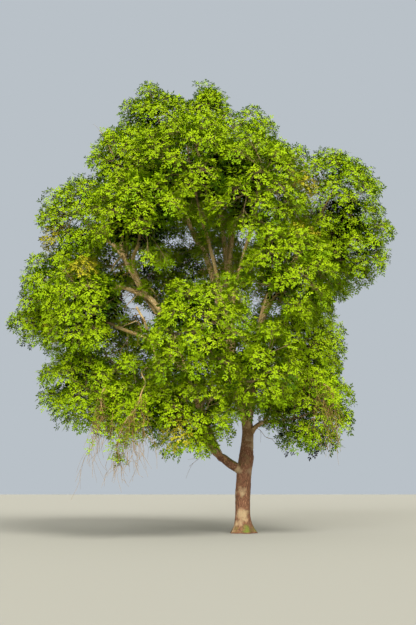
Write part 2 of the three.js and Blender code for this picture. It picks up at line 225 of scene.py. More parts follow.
def fissured_bark(name, crack, low, high, film, ridge_width, ridge_length, roughness=0.92):
    material = bpy.data.materials.new(name)
    material.use_nodes = True
    tree = material.node_tree
    shader = tree.nodes["Principled BSDF"]
    shader.inputs["Roughness"].default_value = roughness
    shader.inputs["Specular IOR Level"].default_value = 0.2

    # The height of the bark: cells with cracks between them, stretched along the limb, and a fine grain
    place = add_node(tree, "Attribute", {"attribute_name": "limb_place"})
    stretched = add_node(
        tree, "Mapping",
        {"Scale": (1 / ridge_width, 1 / ridge_width, 1 / ridge_length)}, {"Vector": place.outputs["Vector"]},
    )
    wobble = add_node(tree, "TexNoise", {"Scale": 1.3, "Detail": 3}, {"Vector": stretched.outputs["Vector"]})
    shifted = add_node(
        tree, "VectorMath", {"operation": "ADD"},
        {0: stretched.outputs["Vector"], 1: wobble.outputs["Color"]},
    )
    cells = add_node(
        tree, "TexVoronoi", {"feature": "DISTANCE_TO_EDGE", "Scale": 1.0},
        {"Vector": shifted.outputs["Vector"]},
    )
    grain = add_node(
        tree, "TexNoise", {"Scale": 5.0, "Detail": 8, "Roughness": 0.65},
        {"Vector": stretched.outputs["Vector"]},
    )
    height = add_node(
        tree, "Math", {"operation": "MULTIPLY_ADD", 1: 0.35},
        {0: grain.outputs["Fac"], 2: cells.outputs["Distance"]},
    )
    bump = add_node(tree, "Bump", {"Strength": 0.8, "Distance": 0.012}, {"Height": height.outputs["Value"]})
    tree.links.new(bump.outputs["Normal"], shader.inputs["Normal"])

    # Its colours by height, low on the tree and high up, where they are partly painted sunlight
    ramps = []
    for stops, (furrow, ridge) in ((LOW_STOPS, low), (HIGH_STOPS, high)):
        ramp = add_node(tree, "ValToRGB", links={"Fac": height.outputs["Value"]})
        elements = ramp.color_ramp.elements
        while len(elements) < len(stops):
            elements.new(0.5)
        for element, stop, code in zip(elements, stops, (crack, furrow, furrow, ridge)):
            element.position = stop
            element.color = linear(code)
        ramps.append(ramp.outputs["Color"])

    # Input 0 of a Mix node of colours is the share, 6 and 7 are the colours, and output 2 is what they make
    # How much of the high colours (weathering with painted sunlight), lichen, algae and moss shows at each
    # place
    where = add_node(tree, "TexCoord")
    above = add_node(tree, "SeparateXYZ", links={"Vector": where.outputs["Object"]})
    facing = add_node(tree, "SeparateXYZ", links={"Vector": where.outputs["Normal"]})
    patch = add_node(tree, "TexNoise", {"Scale": 2.2, "Detail": 4}, {"Vector": place.outputs["Vector"]})
    shares = []
    for source, (start, end, most) in (
        (above.outputs["Z"], WEATHERING_AND_PAINTED_SUN), (patch.outputs["Fac"], LICHEN_PATCHES),
        (patch.outputs["Fac"], FILM_PATCHES), (patch.outputs["Fac"], MOSS_PATCHES),
        (facing.outputs["Z"], MOSS_FACING),
    ):
        span = {"From Min": start, "From Max": end, "To Max": most}
        shares.append(add_node(tree, "MapRange", span, {"Value": source}).outputs["Result"])
    weathering_and_painted_sun, lichened, filmed, tufted, upward = shares
    mossed = add_node(tree, "Math", {"operation": "MULTIPLY"}, {0: upward, 1: tufted}).outputs["Value"]
    colour = add_node(tree, "Mix", {"data_type": "RGBA"}, {0: weathering_and_painted_sun, 6: ramps[0], 7: ramps[1]})
    for share, tint in ((lichened, LICHEN), (filmed, film), (mossed, MOSS)):
        colour = add_node(
            tree, "Mix", {"data_type": "RGBA", 7: linear(tint)}, {0: share, 6: colour.outputs[2]},
        )
    tree.links.new(colour.outputs[2], shader.inputs["Base Color"])
    return material


# High up, the bark is a tan made paler still as painted sunlight on the upper limbs.
old_bark = fissured_bark(
    "ash_bark_fissured", "#2b1c14", low=("#7a5540", "#a98264"), high=("#c8aa72", "#fbedc0"),
    film="#76784a", ridge_width=0.05, ridge_length=0.19,
)

trunk_curve = bezier(
    np.zeros(3), np.array((0, 0, TRUNK_FORK[2] / 3)),
    np.array((-TRUNK_LEAN, 0, TRUNK_FORK[2] * 2 / 3)), TRUNK_FORK,
)

# Each bough with the limb it leaves, the share of that one's length where it does so, its foot's radius,
# and the centre and the reach of the mass of foliage that it carries, as in the solids' source.
BOUGHS = [
    dict(place="crest_right", limb="main_stem", start="trunk", at=1, foot=0.215,
         centre=(-1.08, -0.3, 14.12), reach=0.93,
         through=[(0.17, 0, 3.3), (-0.05, 0, 4.15), (-0.28, 0, 5.2), (-0.35, -0.1, 6.9), (-0.6, -0.2, 9.7)]),
    dict(place="upper_left", limb="left_fork", start="trunk", at=0.82, foot=0.16,
         centre=(-3.66, -0.8, 11.75), reach=1.6,
         through=[(-0.56, -0.25, 2.25), (-0.93, -0.5, 2.8), (-2.4, -0.9, 6.5), (-3.25, -0.95, 7.65),
                  (-3.85, -0.9, 9)]),
    dict(place="crest_left", start="main_stem", at=0.42, foot=0.115, centre=(-2.78, 0.3, 13.6), reach=1.65,
         through=[(-1.06, -0.35, 8.5), (-1.6, -0.3, 9.6)]),
    dict(place="upper_right", start="main_stem", at=0.5, foot=0.095,
         centre=(0.05, -0.5, 12.38), reach=1.63),
    dict(place="upper_front", start="main_stem", at=0.56, foot=0.08, centre=(-1.65, -2.8, 11), reach=1.95),
    dict(place="front_centre", start="main_stem", at=0.45, foot=0.085,
         centre=(0.35, -2.8, 10.3), reach=1.9),
    dict(place="upper_back_right", start="main_stem", at=0.53, foot=0.085,
         centre=(-0.3, 2.3, 12), reach=2.05),
    dict(place="upper_back_left", start="bough_crest_left", at=0.3, foot=0.075,
         centre=(-2.75, 2.4, 11.9), reach=2),
    dict(place="right_dome", start="main_stem", at=0.24, foot=0.125, centre=(3.02, -0.5, 10.91), reach=1.82,
         through=[(0.72, -0.7, 7.05), (1.35, -0.7, 8)]),
    dict(place="right_edge", start="bough_right_dome", at=0.55, foot=0.07,
         centre=(3.56, 0.1, 9.3), reach=1.68),
    dict(place="back_right", start="bough_right_dome", at=0.32, foot=0.085,
         centre=(2.2, 2.7, 9.05), reach=2.15),
    dict(place="front_right", start="bough_right_dome", at=0.26, foot=0.08,
         centre=(1.35, -3, 7.7), reach=1.77),
    dict(place="back_centre", start="main_stem", at=0.33, foot=0.095, centre=(-1.25, 3.8, 8.9), reach=2.1),
    dict(place="left_shoulder", start="left_fork", at=0.78, foot=0.075,
         centre=(-5.2, -0.3, 10.06), reach=1.66),
    dict(place="front_left", start="left_fork", at=0.66, foot=0.075, centre=(-3.2, -3.2, 9.3), reach=1.77),
    dict(place="left_far", start="left_fork", at=0.6, foot=0.08, centre=(-5.9, 0.2, 7.98), reach=1.63),
    dict(place="left_tip", start="bough_left_far", at=0.5, foot=0.05, centre=(-6.75, 0.5, 6.85), reach=1),
    dict(place="back_left", start="left_fork", at=0.48, foot=0.095, centre=(-4.1, 2.85, 8.9), reach=2.15),
    dict(place="middle_left", start="left_fork", at=0.42, foot=0.08, centre=(-4.7, -2.7, 6.7), reach=1.77),
    dict(place="middle_front", start="main_stem", at=0.17, foot=0.085, centre=(-1.45, -4, 5.9), reach=1.77),
    dict(place="middle_right", start="main_stem", at=0.2, foot=0.085,
         centre=(1.85, -0.75, 6.02), reach=1.57),
    dict(place="low_right", start="main_stem", at=0.12, foot=0.075, centre=(2.05, -0.8, 3.8), reach=1.7),
    dict(place="low_front_right", start="main_stem", at=0.14, foot=0.065,
         centre=(0.35, -3.1, 4.9), reach=1.47),
    dict(place="low_front", start="left_fork", at=0.16, foot=0.075, centre=(-1.6, -3, 3.5), reach=1.52),
    dict(place="low_left", start="left_fork", at=0.27, foot=0.085, centre=(-4.85, -1.5, 4.5), reach=1.67),
    dict(place="low_left_hanging", start="bough_low_left", at=0.5, foot=0.05,
         centre=(-3.1, -2.7, 3.75), reach=1.3),
    dict(place="low_back_left", start="left_fork", at=0.32, foot=0.085,
         centre=(-4.4, 2.4, 5.75), reach=2.1),
    dict(place="low_back", start="main_stem", at=0.16, foot=0.085, centre=(-1.4, 3.7, 5.45), reach=2.1),
    dict(place="low_back_right", start="main_stem", at=0.13, foot=0.085,
         centre=(1.65, 2.25, 5.45), reach=2.1),
]
BOUGH_SEED = 1000
ENTRY = 0.62
RISE = 0.35
WANDER = 0.035
SEAT_GAP = 0.0004


def bough_curve(bough, parent, draw):
    centre = np.array(bough["centre"], float)
    leaving = heading(parent, bough["at"])
    foot = parent(bough["at"]) + (SEAT_GAP * leaving if bough["at"] == 1 else 0)
    through = [np.array(point, float) for point in bough.get("through", [])]
    last = through[-1] if through else foot
    tip = centre + unit(last - centre) * bough["reach"] * ENTRY
    if not through:
        length = np.linalg.norm(tip - foot)
        out = unit(leaving * RISE + unit(tip - foot) * (1 - RISE))
        scatter = np.array([2 * draw() - 1 for _ in range(3)])
        through = [foot + out * length / 2 + scatter * WANDER * length]
    return catmull_rom([foot, *through, tip])


curves = {"trunk": trunk_curve}
for index, bough in enumerate(BOUGHS):
    bough["node"] = bough.get("limb", "bough_" + bough["place"])
    curves[bough["node"]] = bough_curve(bough, curves[bough["start"]], seeded(BOUGH_SEED + index))

leader = BOUGHS[0]
leader_curve = curves["main_stem"]
TRUNK_LENGTH = length_of(trunk_curve)
LEADER_LENGTH = length_of(leader_curve)
TRUNK_SHARE = TRUNK_LENGTH / (TRUNK_LENGTH + LEADER_LENGTH)


def stem_curve(share):
    """The middle line of the trunk and the leader in one."""
    if share < TRUNK_SHARE:
        return trunk_curve(share / TRUNK_SHARE)
    return leader_curve((share - TRUNK_SHARE) / (1 - TRUNK_SHARE))


def limb_radius(bough, share):
    return bough["foot"] + (TIP_RADIUS - bough["foot"]) * share**BOUGH_TAPER


def stem_radius(share, angle):
    """The lobed root flare, the plain trunk, and a leader that tapers from the fork."""
    if share < TRUNK_SHARE:
        height = share / TRUNK_SHARE * TRUNK_FORK[2]
        flare = max(0, 1 - height / FLARE_HEIGHT) ** 2
        lobes = 1 + LOBE_DEPTH * flare * math.cos(FLARE_LOBES * angle)
        plain = TRUNK_RADIUS + (FORK_RADIUS - TRUNK_RADIUS) * share / TRUNK_SHARE
        return (plain + (FLARE_RADIUS - TRUNK_RADIUS) * flare) * lobes
    onward = (share - TRUNK_SHARE) / (1 - TRUNK_SHARE)
    blend = math.exp(-onward * LEADER_LENGTH / FORK_BLEND)
    return limb_radius(leader, onward) + (FORK_RADIUS - leader["foot"]) * blend


stem = bark_tube("stem_bark", stem_curve, stem_radius, *STEM_MESH)
stem.data.materials.append(old_bark)
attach(stem, "root")
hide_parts("trunk", "main_stem")

# Boughs
# Each bough is one tapering limb that swells into a collar where it leaves the wood that carries it.
# Old boughs have the trunk's fissured bark. Younger ones are pale tan, smoother and more finely ridged.
# High up, both are made paler still as painted sunlight.
COLLAR_WIDER = 0.6
COLLAR_LENGTH = 0.13
COLLAR_LIMIT = 0.95
OLD_BARK_FOOT = 0.1
OLD_BOUGH_MESH = (40, 0.05)
YOUNG_BOUGH_MESH = (20, 0.09)
# High up, young bark is a pale tan made paler still as painted sunlight.
young_bark = fissured_bark(
    "ash_bark_young", "#5d4a34", low=("#94714d", "#b8946a"), high=("#c6a76c", "#fdf0c4"),
    film="#8d8f58", ridge_width=0.035, ridge_length=0.12, roughness=0.85,
)

bough_of_node = {bough["node"]: bough for bough in BOUGHS}
for bough in BOUGHS[1:]:
    bearer = bough_of_node.get(bough["start"])
    buried = limb_radius(bearer, bough["at"]) if bearer else FORK_RADIUS
    length = length_of(curves[bough["node"]])

    def bough_radius(share, angle):
        out = max(0, share * length - buried)
        collar = 1 + COLLAR_WIDER * math.exp(-out / COLLAR_LENGTH)
        return min(limb_radius(bough, share) * collar, max(buried * COLLAR_LIMIT, bough["foot"]))

    old = bough["foot"] > OLD_BARK_FOOT
    mesh_size = OLD_BOUGH_MESH if old else YOUNG_BOUGH_MESH
    piece = bark_tube("bark_" + bough["node"], curves[bough["node"]], bough_radius, *mesh_size)
    piece.data.materials.append(old_bark if old else young_bark)
    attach(piece, "root")
    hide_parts(bough["node"])

# Twigs
# Every mass of foliage has a stem that goes on from its bough's tip and forks by the golden angle into
# twigs, then branchlets, then the year's shoots. The wood is thin, smooth and dull tan.
CROWN_HEART = np.array((-1.1, 0, 6.5))
STEM_TOP = 0.3
STEM_AXIS = (0.5, 0.45, 0.35)
STEM_STRETCH = (0.25, 0.97)
MASS_STEM_RADII = (TIP_RADIUS * 0.96, 0.024)
MASS_STEM_STATIONS = 8
MASS_STEM_SIDES = 7
TWIG_SEED = 2200
TWIGS = 5
TWIG_LEAN = (-0.62, 0.97)
TWIG_SPREAD = 0.42
SPREAD_RANGE = (0.9, 1.12)
LEAST_SPREAD = 0.2
SHRINK = 0.86
SPACE_MARGIN = 0.012
TWIG_DROOP = 0.05
TWIG_BOW = 0.05
TWIG_RADII = (0.022, 0.013)
TWIG_STATIONS = 5
TWIG_SIDES = 5
GOLDEN_ANGLE = math.pi * (3 - math.sqrt(5))

# Bare spaces in the crown: from the first point, outside it, to the second, within the radius.
HOLLOWS = [
    ((-3.4, -6, 7.3), (-3.9, -0.6, 8.7), 0.7),
    ((-2.7, -6, 6.45), (-3.1, -0.4, 7.65), 0.64),
    ((-3.3, -6, 5.7), (-3.8, -0.8, 6.65), 0.5),
    ((-1.95, -6, 7.9), (-2.2, 0.5, 9.7), 0.51),
    ((-1.5, -6, 7.2), (-1.6, 0.5, 8.8), 0.51),
    ((-0.45, -6, 7.8), (-0.3, 0.3, 9.5), 0.33),
    ((-3.6, -6, 4.95), (-4.15, -1, 5.7), 0.34),
    ((0.6, -6, 6.25), (1, -0.4, 7.4), 0.33),
    ((-2.6, -6, 5.75), (-3.5, 7, 8.1), 0.26),
    ((-3.15, -6, 6.35), (-4.35, 7, 9.1), 0.27),
    ((-1.5, -6, 7.75), (-1.75, 7, 11.25), 0.24),
    ((-0.35, -6, 4.9), (0.05, 7, 6.75), 0.2),
    ((0.65, -6, 5.95), (1.7, 7, 8.45), 0.25),
    ((0.2, -6, 6.4), (1, 7, 9.15), 0.22),
    ((-1.73, -3, 13.3), (-1.86, 2, 15.55), 0.3),
]
hollow_starts = np.array([hollow[0] for hollow in HOLLOWS], float)
hollow_lines = np.array([hollow[1] for hollow in HOLLOWS], float) - hollow_starts
hollow_radii = np.array([hollow[2] for hollow in HOLLOWS])


def in_hollow(points, ease=1.0):
    """Whether points lie in a bare space, its radius eased by a factor."""
    offset = points[..., None, :] - hollow_starts
    share = np.clip((offset * hollow_lines).sum(-1) / (hollow_lines**2).sum(-1), 0, 1)
    return (np.linalg.norm(offset - share[..., None] * hollow_lines, axis=-1) < hollow_radii * ease).any(-1)


centres = np.array([bough["centre"] for bough in BOUGHS], float)
reaches = np.array([bough["reach"] for bough in BOUGHS], float)


def lead_over_neighbours(index, points):
    """How far points lie on a mass's own side of the planes where its ball meets its neighbours'."""
    depth = reaches**2 - ((points[..., None, :] - centres) ** 2).sum(-1)
    spacing = 2 * np.linalg.norm(centres - centres[index], axis=1)
    spacing[index] = 1
    lead = (depth[..., index, None] - depth) / spacing
    lead[..., index] = np.inf
    return lead.min(-1)


def in_space(index, point):
    """Whether a twig's end lies in its mass's own ball, clear of its neighbours and of every hollow."""
    inside = np.linalg.norm(point - centres[index]) < reaches[index]
    return inside and lead_over_neighbours(index, point) > SPACE_MARGIN and not in_hollow(point)


def lerp(low, high, share):
    return low + (high - low) * share


GROOVE_FILL = 0.5
LEAF_OVERHANG = 0.3
DEEP = (0.35, 1.0)


def crown_depth(points):
    """How far points lie under the crown's surface, which runs smoothly from one ball to the next."""
    inside = reaches - np.linalg.norm(points[..., None, :] - centres, axis=-1)
    return GROOVE_FILL * np.log(np.exp(inside / GROOVE_FILL).sum(-1)) - LEAF_OVERHANG


def shade_at(points):
    """0 in the outer layer of the crown, and 1 deep inside it."""
    return np.clip((crown_depth(points) - DEEP[0]) / (DEEP[1] - DEEP[0]), 0, 1)


UNDER_TOP = 4.9
UNDER_WIDTH = 3.1
UNDER_FADE = 1.4


def under_crown(points):
    """1 low down beside the trunk, in the shade of the crown above, and 0 further out or up."""
    away = np.linalg.norm(points[..., :2] - TRUNK_FORK[:2], axis=-1)
    low = np.clip((UNDER_TOP - points[..., 2]) / UNDER_FADE, 0, 1)
    return low * np.clip((UNDER_WIDTH - away) / UNDER_FADE, 0, 1)


FURTHEST = 1.35
REACH_STEPS = 40


def reach_along(index, ways):
    """How far a mass goes each way from its centre: to the crown's surface, a neighbour or a hollow."""
    steps = np.linspace(LEAST_SPREAD, FURTHEST, REACH_STEPS) * reaches[index]
    points = centres[index] + ways[:, None] * steps[:, None]
    free = (crown_depth(points) > 0) & (lead_over_neighbours(index, points) > 0) & ~in_hollow(points)
    return steps[np.maximum(np.cumprod(free, axis=1).sum(1) - 1, 0)]


def mass_stem(index):
    """The way that a mass grows, and the stem that carries its bough on into it."""
    bough = BOUGHS[index]
    curve = curves[bough["node"]]
    entering = heading(curve, 1)
    axis = unit(np.dot(STEM_AXIS, (unit(centres[index] - CROWN_HEART), UP, entering)))
    foot = curve(1)
    top = centres[index] + axis * STEM_TOP * bough["reach"]
    elbow = foot + entering * np.linalg.norm(top - foot) / 2
    return axis, bezier(foot, elbow, top)


def bearings(axis, count, leans, turned):
    """Directions round an axis, each turned on by the golden angle, from the lowest lean to the highest."""
    rank = (np.arange(count) + 0.5) / count
    side = unit(np.cross(UP, axis))
    beside = np.cross(axis, side)
    lean = lerp(*leans, rank)[:, None]
    turn = (turned + np.arange(count) * GOLDEN_ANGLE)[:, None]
    return rank, lean * axis + np.sqrt(1 - lean**2) * (side * np.cos(turn) + beside * np.sin(turn))


def spread_ends(index, ways, draw):
    """Where the twigs of a mass end, drawn in until they keep to its space."""
    reach = reaches[index]
    ends = []
    for way in ways:
        wide = TWIG_SPREAD * lerp(*SPREAD_RANGE, draw())
        while True:
            end = centres[index] + way * wide * reach - UP * TWIG_DROOP * reach
            if in_space(index, end) or wide <= LEAST_SPREAD:
                break
            wide *= SHRINK
        ends.append(end)
    return np.array(ends)


def array_piece(name, points, corners, sizes, material_index=None, normals=None):
    """A joined mesh from arrays: points, the corners of all faces in turn, and each face's corner count."""
    mesh = bpy.data.meshes.new(name)
    mesh.vertices.add(len(points))
    mesh.vertices.foreach_set("co", points.astype(np.float32).ravel())
    mesh.loops.add(len(corners))
    mesh.loops.foreach_set("vertex_index", corners.astype(np.int32))
    mesh.polygons.add(len(sizes))
    starts = np.concatenate(([0], np.cumsum(sizes)[:-1])).astype(np.int32)
    mesh.polygons.foreach_set("loop_start", starts)
    if material_index is not None:
        mesh.polygons.foreach_set("material_index", material_index.astype(np.int32))
    mesh.update(calc_edges=True)
    if normals is not None:
        mesh.normals_split_custom_set_from_vertices(normals)
    return new_object(name, mesh)


ASKEW = np.array((0.31, 0.87, 0.38))


class Wood:
    """Round twigs, gathered tube by tube and then made one piece."""

    def __init__(self):
        self.points, self.faces, self.count = [], [], 0

    def add(self, middles, radii, sides):
        """Tubes through middles (tube, station, xyz), which taper from the first radius to the second."""
        tubes, stations = middles.shape[:2]
        along = unit(np.gradient(middles, axis=1))
        start = unit(np.cross(along[:, :1], ASKEW))
        u = unit(start - along * (start * along).sum(-1, keepdims=True))
        v = np.cross(along, u)
        angle = np.arange(sides) * 2 * math.pi / sides
        ring = u[:, :, None] * np.cos(angle)[:, None] + v[:, :, None] * np.sin(angle)[:, None]
        points = middles[:, :, None] + ring * np.linspace(*radii, stations)[:, None, None]
        index = np.arange(tubes * stations * sides).reshape(tubes, stations, sides) + self.count
        turned = np.roll(index, -1, axis=2)
        quads = np.stack((index[:, :-1], turned[:, :-1], turned[:, 1:], index[:, 1:]), axis=-1)
        self.points.append(points.reshape(-1, 3))
        self.faces.append(quads.reshape(-1, 4))
        self.count += tubes * stations * sides

    def piece(self, name, finish):
        """One joined piece of all the tubes."""
        faces = np.concatenate(self.faces)
        piece = array_piece(name, np.concatenate(self.points), faces.ravel(), np.full(len(faces), 4))
        piece.data.materials.append(finish)
        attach(piece, "root")
        return piece


def plain_finish(name, code, roughness, specular):
    material = bpy.data.materials.new(name)
    material.use_nodes = True
    shader = material.node_tree.nodes["Principled BSDF"]
    shader.inputs["Base Color"].default_value = linear(code)
    shader.inputs["Roughness"].default_value = roughness
    shader.inputs["Specular IOR Level"].default_value = specular
    return material


# Ash twig: smooth, thin bark, a dull tan with a slight gloss.
twig_wood = plain_finish("ash_twig", "#8a7650", roughness=0.7, specular=0.3)

# Leaves
# An ash leaf has narrow leaflets in pairs and one at its end, on a stalk that arches over. Here it has two
# pairs, fewer than life, to keep the count down. Tufts of leaves stand at the shoots' ends. The greens are
# dealt out by tuft, with painted shade inside the crown and low beside the trunk, down to a near black,
# and a few domes are browned.
LEAF_LENGTH = (0.16, 0.23)
SHADE_LEAF_WIDER = 0.9
LEAVES_PER_TUFT = 6
LEAFLET_STATIONS = (0.45, 0.8)
END_LEAFLET = 0.93
LEAFLET_LENGTH = 0.5
LEAFLET_WIDTH = 0.225
LEAFLET_BELLY = 0.45
LEAFLET_FOLD = 0.05
LEAFLET_ANGLE = 0.95
LEAFLET_DROOP = 0.12
LEAFLET_TWIST = 0.15
LEAFLET_SCATTER = 0.18
ARCH = (0.0, 0.3)
STALK_WIDTH = 0.006
STALK_END = 0.95
LEAF_SPLAY = (0.8, 1.5)
SPLAY_SCATTER = 0.15
LEAF_FOOT = 0.12
FACE_OUT = 1.2
FACE_UP = 0.3
FACE_SCATTER = 0.15
DOME_ROUNDING = 0.9
TUFT_ROUNDING = 0.4
TUFT_DEPTH = 0.1
UPTURN = 0.3
FULL_LIGHT = 0.999
# The first two greens are painted shade for tufts deep in the crown, the first near black; the lit ones are
# near alike.
GREENS = ("#040a01", "#375504", "#729309", "#7f9c0a", "#829e0a", "#87a10b")
BROWNED = "#97921e"

# Ash leaf: thin, matt blades with hardly any gloss, yellow green, with darker greens down to near black as
# painted shade.
leaf_finishes = [
    plain_finish(f"ash_leaf_{i + 1}", code, roughness=0.65, specular=0.06)
    for i, code in enumerate((*GREENS, BROWNED))
]


def green_for(light):
    """Which of the greens each tuft has, from the first in the dark to the last in full light."""
    return (np.clip(light, 0, FULL_LIGHT) * len(GREENS)).astype(int)


def leaf_arrays(foot, out, up, length, arch, rng):
    """All leaves of a mass: a folded kite for each leaflet, and a long thin triangle for the stalk."""
    length, arch = length[:, None], arch[:, None]
    side = unit(np.cross(out, up))
    kites = []

    def at(share):
        return foot + length * (share * out - arch * share**2 * UP)

    def add_leaflet(share, hand):
        along = unit(out - 2 * arch * share * UP)
        facing = unit(np.cross(side, along) + rng.normal(0, LEAFLET_TWIST, side.shape))
        turn = LEAFLET_ANGLE if hand else 0
        way = math.cos(turn) * along + hand * math.sin(turn) * side - LEAFLET_DROOP * UP
        way = unit(way + rng.normal(0, LEAFLET_SCATTER, side.shape))
        wide = unit(np.cross(way, facing)) * length * LEAFLET_WIDTH / 2
        size = length * LEAFLET_LENGTH
        base = at(share)
        belly = base + way * size * LEAFLET_BELLY - facing * size * LEAFLET_FOLD
        kites.append(np.stack((base, belly - wide, base + way * size, belly + wide), axis=1))

    for share in LEAFLET_STATIONS:
        add_leaflet(share, 1)
        add_leaflet(share, -1)
    add_leaflet(END_LEAFLET, 0)
    width = side * STALK_WIDTH / 2
    stalk = np.stack((foot - width, foot + width, at(STALK_END)), axis=1)
    return np.concatenate(kites, axis=1), stalk


def tuft_leaves(ends, ways, scale, rng):
    """The leaves of every tuft: splayed round the shoot's end, each arching over and down."""
    count = len(ends)
    turn = rng.uniform(0, 2 * math.pi, count)[:, None] + np.arange(LEAVES_PER_TUFT) * GOLDEN_ANGLE
    splay = lerp(*LEAF_SPLAY, (np.arange(LEAVES_PER_TUFT) + 0.5) / LEAVES_PER_TUFT)
    splay = splay + rng.uniform(-SPLAY_SCATTER, SPLAY_SCATTER, (count, LEAVES_PER_TUFT))
    side = unit(np.cross(ways, unit(rng.normal(size=(count, 3)))))
    beside = np.cross(ways, side)
    ring = side[:, None] * np.cos(turn)[..., None] + beside[:, None] * np.sin(turn)[..., None]
    out = unit(ways[:, None] * np.cos(splay)[..., None] + ring * np.sin(splay)[..., None])
    foot = ends[:, None] - ways[:, None] * rng.uniform(0, LEAF_FOOT, (count, LEAVES_PER_TUFT, 1))
    up = unit(ways[:, None] * FACE_OUT + UP * FACE_UP + rng.normal(size=out.shape) * FACE_SCATTER)
    total = count * LEAVES_PER_TUFT
    length = rng.uniform(*LEAF_LENGTH, total) * np.repeat(scale, LEAVES_PER_TUFT)
    arch = rng.uniform(*ARCH, total)
    return leaf_arrays(*(values.reshape(-1, 3) for values in (foot, out, up)), length, arch, rng)


def soft_normals(shapes, outward, hearts):
    """Faces turned outwards, and normals that round off each tuft, about its heart, and its dome."""
    square = unit(np.cross(shapes[:, 1] - shapes[:, 0], shapes[:, 2] - shapes[:, 0]))
    inward = (square * outward).sum(-1) < 0
    shapes[inward] = shapes[inward][:, ::-1]
    square[inward] *= -1
    rounded = unit(lerp(outward, unit(shapes.mean(1) - hearts), TUFT_ROUNDING) + UPTURN * UP)
    normals = unit(lerp(square, rounded, DOME_ROUNDING))
    return np.repeat(normals, shapes.shape[1], axis=0)


def leaf_mesh(name, tips, tip_ways, tones, rng):
    """One piece of all the leaves whose tufts stand at the tips, each tuft in the tone dealt to it."""
    kites, stalks = tuft_leaves(tips, tip_ways, 1 + SHADE_LEAF_WIDER * shade_at(tips), rng)
    tones = np.repeat(tones, LEAVES_PER_TUFT)
    outward = np.repeat(tip_ways, LEAVES_PER_TUFT, axis=0)
    hearts = np.repeat(tips - tip_ways * TUFT_DEPTH, LEAVES_PER_TUFT, axis=0)
    leaflets = kites.shape[1] // 4
    kites = kites.reshape(-1, 4, 3)
    normals = [
        soft_normals(kites, *(np.repeat(values, leaflets, axis=0) for values in (outward, hearts))),
        soft_normals(stalks, outward, hearts),
    ]
    points = np.concatenate((kites.reshape(-1, 3), stalks.reshape(-1, 3)))
    sizes = np.concatenate((np.full(len(kites), 4), np.full(len(stalks), 3)))
    piece = array_piece(
        name, points, np.arange(len(points)), sizes,
        np.concatenate((np.repeat(tones, leaflets), tones)), np.concatenate(normals),
    )
    for finish in leaf_finishes:
        piece.data.materials.append(finish)
    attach(piece, "root")
    return piece


# Masses of foliage
# A mass is the leafy end of one bough. Its twigs carry branchlets, and at the end of each branchlet the
# year's shoots fan out into a dome, with a tuft of leaves at each one's tip. The greens are painted light
# and shade: lighter towards the top and the outside of a dome, darker low beside the trunk and deep inside.
BRANCHLET_SEED = 5000
BRANCHLETS = 35
LEAST_BRANCHLETS = 8
FULL_REACH = 1.75
INNERMOST = 1.6
BRANCHLET_LEAN = (-0.95, 0.97)
BRANCHLET_SCATTER = 0.06
BRANCHLET_FOOT = (0.45, 0.95)
BRANCHLET_BOW = 0.12
BRANCHLET_KINK = 0.04
BRANCHLET_RADII = (0.012, 0.007)
BRANCHLET_SIDES = 4

DOME_RADIUS = (0.32, 0.5)
DOME_INSET = (-0.06, 0.26)
DOME_ROOM = 0.55
DOME_OUT = 0.55
DOME_UP = 0.65
DOME_SINK = 0.5
SHOOTS = (13, 4)
SHOOT_LEAN = (0, 0.98)
SHOOT_FOOT = (0.45, 1)
SHOOT_LENGTH = (0.85, 1.12)
SHOOT_RADII = (0.006, 0.004)
SHOOT_SIDES = 3
SEAM_CROSSING = 0.2
HOLLOW_EDGE = (0.85, 1.15)
TUFT_UP = 0.35

# Painted light and shade in each tuft's green: lighter towards a dome's top and outside and on upward
# branchlets, darker low beside the trunk and deep in the crown.
MIDDLE_LIGHT = 0.72
LIGHT_BY_LEAN = 0.66
LIGHT_BY_HEIGHT = 0.08
LIGHT_SCATTER = 0.05
LIGHT_LOST_INSIDE = 0.66
PAINTED_SHADE_UNDER_CROWN = 0.3
BROWNED_SHARE = 0.02
BROWNED_SEED = 8000


